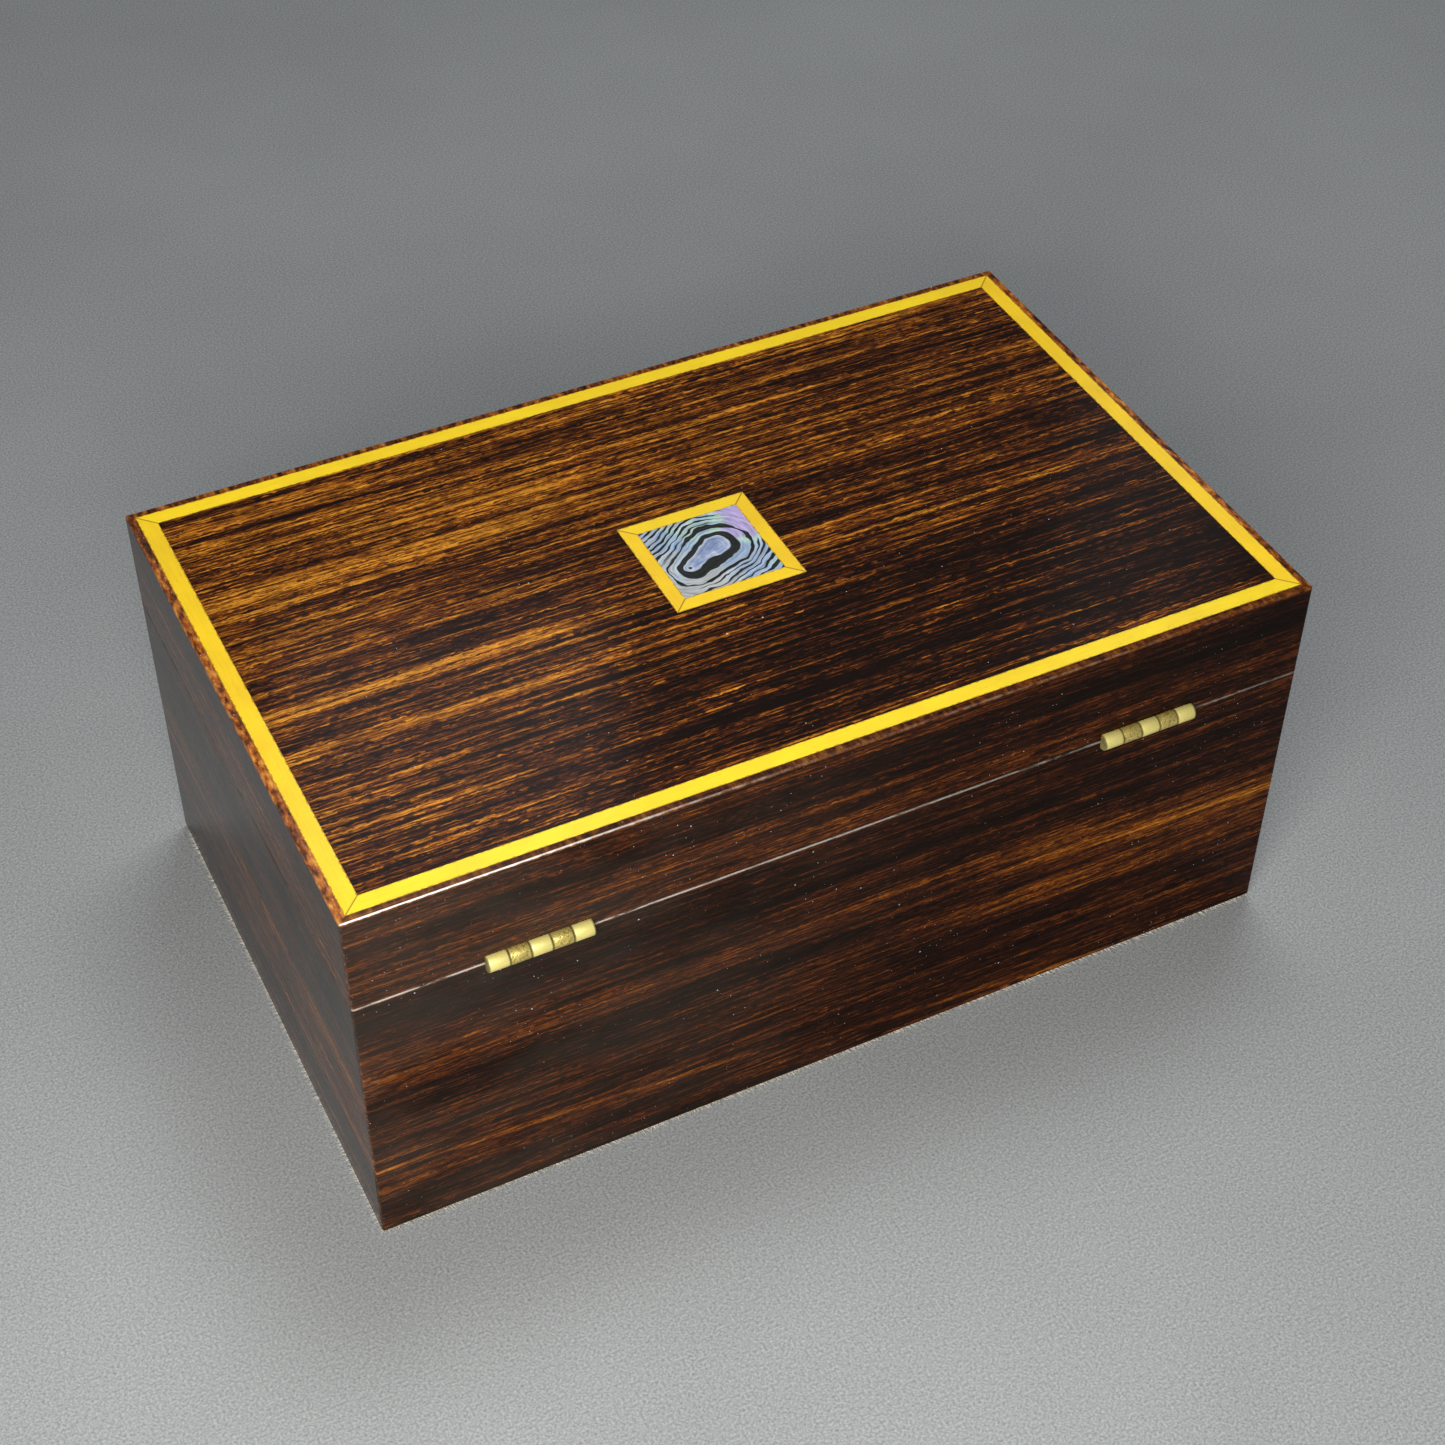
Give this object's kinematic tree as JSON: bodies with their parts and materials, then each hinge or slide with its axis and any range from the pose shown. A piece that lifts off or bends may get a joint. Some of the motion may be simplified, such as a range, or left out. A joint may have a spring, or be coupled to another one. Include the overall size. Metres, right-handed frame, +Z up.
{
  "type": "wooden puzzle box",
  "caption": "Hinged rectangular wooden box with a mitred inlaid lid, a shell square at its middle, and a hidden lock behind a sliding front panel.",
  "frame": {"origin": "on the floor under the middle of the box, on the felt's underside", "axes": "+X along the length towards the right end, +Y towards the hinged back, +Z up; the sliding panel is the front, on -Y"},
  "size_m": [0.222, 0.1382, 0.0975],
  "materials": {
    "dark_wood": "dark striped hardwood under gloss lacquer",
    "plain_wood": "pale plain wood, unpolished",
    "stringing": "bright yellow dyed wood under gloss lacquer",
    "shell": "polished banded shell, blue-grey with black lines",
    "brass": "polished brass, lightly worn",
    "felt": "grey felt",
    "velvet": "dark red velvet",
    "magnet": "nickel-plated magnet"
  },
  "bodies": {
    "box": {"rear_wall": "dark_wood", "right_wall": "dark_wood", "left_wall": "dark_wood", "front_core": "dark_wood", "bottom_panel": "plain_wood", "base_felt": "felt", "floor_lining": "velvet", "right_body_leaf": "brass", "left_body_leaf": "brass", "right_hinge_pin": "brass", "left_hinge_pin": "brass", "body_hinge_screws": "brass", "wall_magnet": "magnet"},
    "front_panel": {"key_panel": "dark_wood", "panel_runner": "plain_wood", "panel_magnet": "magnet"},
    "bar": {"lock_bar": "brass"},
    "lid": {"lid_front_rail": "dark_wood", "lid_rear_rail": "dark_wood", "lid_left_rail": "dark_wood", "lid_right_rail": "dark_wood", "lid_panel": "plain_wood", "lid_lining": "velvet", "top_veneer": "dark_wood", "front_stringing": "stringing", "rear_stringing": "stringing", "left_stringing": "stringing", "right_stringing": "stringing", "front_frame_strip": "stringing", "rear_frame_strip": "stringing", "left_frame_strip": "stringing", "right_frame_strip": "stringing", "shell_inlay": "shell", "strike_hook": "brass", "hook_screws": "brass", "right_lid_leaf": "brass", "left_lid_leaf": "brass", "lid_hinge_screws": "brass"}
  },
  "joints": [
    {"name": "lid_hinge", "type": "hinge", "parent": "box", "child": "lid", "pos_m": [0, 0.0683, 0.073], "axis": [-1, 0, 0], "range_deg": [0, 180]},
    {"name": "panel_slide", "type": "slide", "parent": "box", "child": "front_panel", "axis": [-1, 0, 0], "range_m": [0, 0.022]},
    {"name": "bar_slide", "type": "slide", "parent": "box", "child": "bar", "axis": [-1, 0, 0], "range_m": [0, 0.009]}
  ]
}
